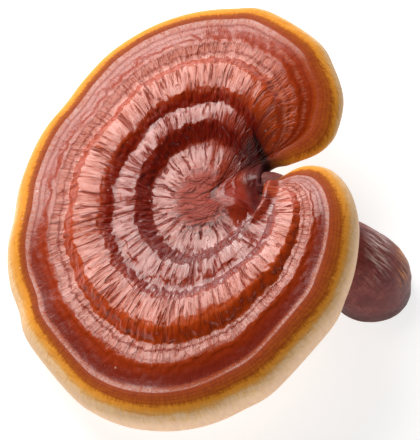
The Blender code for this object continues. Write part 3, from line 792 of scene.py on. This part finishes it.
# Dark crust, with painted highlight streaks on its bend, ochre streaks past it, painted shade darkening its
# foot, a darker rim, and cork in the cut.
stem_lacquer = bpy.data.materials.new("stem_lacquer")
stem_lacquer.use_nodes = True
tree = stem_lacquer.node_tree
shader = tree.nodes["Principled BSDF"]
grain_at = read(tree, "grain", "Vector")
spot = add_node(tree, "ShaderNodeTexCoord").outputs["Object"]
x_at, _, z_at = add_node(tree, "ShaderNodeSeparateXYZ", {0: spot}).outputs
drawn = stretched(tree, grain_at, (1.5, 1.5, 0.16))
drawn_streaks = eased(tree, noise_of(tree, drawn, 1.3, 5.0, 0.65, 0.3), 0.44, 0.58)
painted_shine = product(
    tree, within(tree, x_at, 0.045, 0.050, 0.0525, 0.056), drawn_streaks, eased(tree, z_at, 0.012, 0.020)
)
turned = product(tree, drawn_streaks, eased(tree, x_at, 0.0545, 0.0585), eased(tree, z_at, 0.006, 0.012))
dots = cells_of(tree, spot, 420.0)["Distance"]
colour = colour_by(tree, noise_of(tree, grain_at, 0.5, 6.0, 0.65, 0.4), STEM_COLOURS)
for share, most, over in (
    (painted_shine, 1.0, PAINTED_SHINE_COLOUR), (turned, 1.0, TURNED_COLOUR),
    (without(tree, eased(tree, z_at, 0.001, 0.015)), 0.6, SHADE_COLOUR),
    (without(tree, eased(tree, z_at, 0.001, 0.005)), 0.7, RIND_COLOUR),
    (without(tree, eased(tree, dots, 0.08, 0.14)), 0.35, SPECK_COLOUR),
):
    colour = laid_over(tree, colour, share, most, over=linear(over))
cork = maths(tree, "LESS_THAN", z_at, 0.0001)
cork_colour = colour_by(tree, noise_of(tree, spot, 700.0, 4.0, 0.7), CORK_COLOURS)
colour = laid_over(tree, colour, cork, over=cork_colour)
tree.links.new(colour, shader.inputs["Base Color"])
rough = maths(tree, "MULTIPLY_ADD", noise_of(tree, grain_at, 0.7, 4.0, 0.6), 0.3, 0.30)
rough = maths(tree, "MAXIMUM", rough, product(tree, cork, 0.9))
tree.links.new(rough, shader.inputs["Roughness"])
bark = crust_on(tree, grain_at, 0.45, 0.6)
relief = add_node(tree, "ShaderNodeBump", {"Height": bark["Height"], "Strength": 0.3, "Distance": 0.5 * MM})
fine = {"Height": noise_of(tree, drawn, 2.0, 4.0, 0.6), "Distance": 0.4 * MM, "Normal": relief.outputs[0]}
tree.links.new(add_node(tree, "ShaderNodeBump", fine).outputs[0], shader.inputs["Normal"])

stem = finished("dark_stem", stem_mesh, stem_lacquer)
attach(stem, "root")
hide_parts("stem")

# ---- studio ------------------------------------------------------------------------------------
# A plain white table top under one large soft light, behind and to the left, as in the photograph, in a
# dark room with pale walls behind and before it. The camera looks down steeply from the front.

GROWTH_CENTRE = to_table  # the middle of the cap's plane, in the scene
ELEVATION, DISTANCE, MM_PER_PIXEL = 55.0, 0.60, 0.30
CENTRE_PIXEL, PICTURE = (205.0, 203.0), (420, 440)

white = bpy.data.materials.new("white_table")
white.use_nodes = True
tree = white.node_tree
paper = tree.nodes["Principled BSDF"]
paper.inputs["Base Color"].default_value = (0.5, 0.5, 0.5, 1)
paper.inputs["Roughness"].default_value = 0.9
paper.inputs["Specular IOR Level"].default_value = 0.0
paper.inputs["Emission Color"].default_value = (1, 1, 1, 1)
paper.inputs["Emission Strength"].default_value = 0.75
table_mesh = bmesh.new()
bmesh.ops.create_circle(table_mesh, cap_ends=True, segments=64, radius=3.0)
table = finished("table_top", table_mesh, white)

SOFTBOX_FROM, SOFTBOX_AWAY = Vector((-0.43, 0.68, 0.60)).normalized(), 0.70
SOFTBOX_SIZE, SOFTBOX_RADIANCE = (0.48, 0.54), 8.4
softbox = bpy.data.lights.new("softbox", "AREA")
softbox.shape = "RECTANGLE"
softbox.size, softbox.size_y = SOFTBOX_SIZE
softbox.energy = SOFTBOX_RADIANCE * math.pi * SOFTBOX_SIZE[0] * SOFTBOX_SIZE[1]
softbox.color = (1.0, 0.97, 0.93)
lamp = bpy.data.objects.new("softbox", softbox)
lamp.location = GROWTH_CENTRE + SOFTBOX_FROM * SOFTBOX_AWAY
lamp.rotation_euler = SOFTBOX_FROM.to_track_quat("Z", "Y").to_euler()
bpy.context.collection.objects.link(lamp)

WALL_BEHIND, WALL_BEFORE, WALLS_ROUND, CEILING = 1.1, 1.2, 0.12, 0.02  # how bright they are
room = bpy.data.worlds.new("room")
room.use_nodes = True
tree = room.node_tree
towards = add_node(tree, "ShaderNodeTexCoord").outputs["Generated"]
parts = add_node(tree, "ShaderNodeSeparateXYZ", {0: towards}).outputs
behind = product(tree, eased(tree, parts[1], 0.35, 0.80), WALL_BEHIND)
before = product(tree, eased(tree, product(tree, parts[1], -1.0), -0.1, 0.5), WALL_BEFORE)
walls = maths(tree, "ADD", maths(tree, "ADD", behind, before), WALLS_ROUND)
walls = product(tree, walls, without(tree, eased(tree, parts[2], 0.25, 0.60)))
tree.links.new(maths(tree, "ADD", walls, CEILING), tree.nodes["Background"].inputs["Strength"])
tree.nodes["Background"].inputs["Color"].default_value = (1.0, 0.97, 0.97, 1)
bpy.context.scene.world = room

raised = math.radians(ELEVATION)
right, up = Vector((1, 0, 0)), Vector((0, math.sin(raised), math.cos(raised)))
back = right.cross(up)
pixel = MM_PER_PIXEL * MM
place = GROWTH_CENTRE + back * DISTANCE
place -= right * (CENTRE_PIXEL[0] - PICTURE[0] / 2) * pixel
place += up * (CENTRE_PIXEL[1] - PICTURE[1] / 2) * pixel
camera = bpy.data.objects.new("camera", bpy.data.cameras.new("camera"))
camera.matrix_world = Matrix((right, up, back)).transposed().to_4x4()
camera.location = place
camera.data.sensor_fit = "VERTICAL"
camera.data.sensor_height = 36.0
camera.data.lens = 36.0 * DISTANCE / (PICTURE[1] * pixel)
camera.data.clip_start = 0.01
bpy.context.collection.objects.link(camera)
bpy.context.scene.camera = camera
bpy.context.scene.view_settings.view_transform = "Standard"
